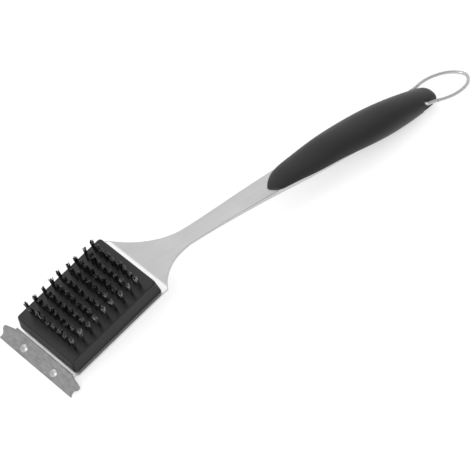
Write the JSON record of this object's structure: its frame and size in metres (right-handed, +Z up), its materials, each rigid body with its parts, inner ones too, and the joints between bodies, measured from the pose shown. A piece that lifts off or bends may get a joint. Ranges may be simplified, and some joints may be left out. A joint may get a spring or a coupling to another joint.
{
  "type": "grill cleaning brush",
  "caption": "Grill cleaning brush: bristle head with an eared scraper plate, a sloping steel channel handle, a soft grip and a swinging wire hanging loop.",
  "frame": {"origin": "centre of the bounding box's base, on the floor the brush rests on with its bristles up", "axes": "+X along the brush from the scraper to the hanging loop, +Y to the left of the handle, +Z up"},
  "size_m": [0.474, 0.0896, 0.0605],
  "materials": {
    "steel": "brushed",
    "scraper_steel": "brushed",
    "rivet_steel": "satin",
    "screw_steel": "satin",
    "anchor_wire": "satin",
    "block_plastic": "matte",
    "core_plastic": "matte",
    "bristle": "glossy",
    "soft_grip": "matte",
    "loop_wire": "polished"
  },
  "bodies": {
    "brush": {"steel_body": "steel", "scraper_blade": "scraper_steel", "scraper_rivets": "rivet_steel", "brush_block": "block_plastic", "tuft_anchors": "anchor_wire", "block_screws": "screw_steel", "grip_core": "core_plastic", "grip_cover": "soft_grip", "grip_screw_front": "screw_steel", "grip_screw_rear": "screw_steel", "tufts_row_1": "bristle", "tufts_row_2": "bristle", "tufts_row_3": "bristle", "tufts_row_4": "bristle", "tufts_row_5": "bristle", "tufts_row_6": "bristle", "tufts_row_7": "bristle", "tufts_row_8": "bristle", "tufts_row_9": "bristle"},
    "loop": {"hang_loop": "loop_wire"}
  },
  "joints": [
    {"name": "hang_loop_pivot", "type": "hinge", "parent": "brush", "child": "loop", "pos_m": [0.17745, 0, 0.01137], "axis": [0, -1, 0], "range_deg": [-110, 130]}
  ]
}
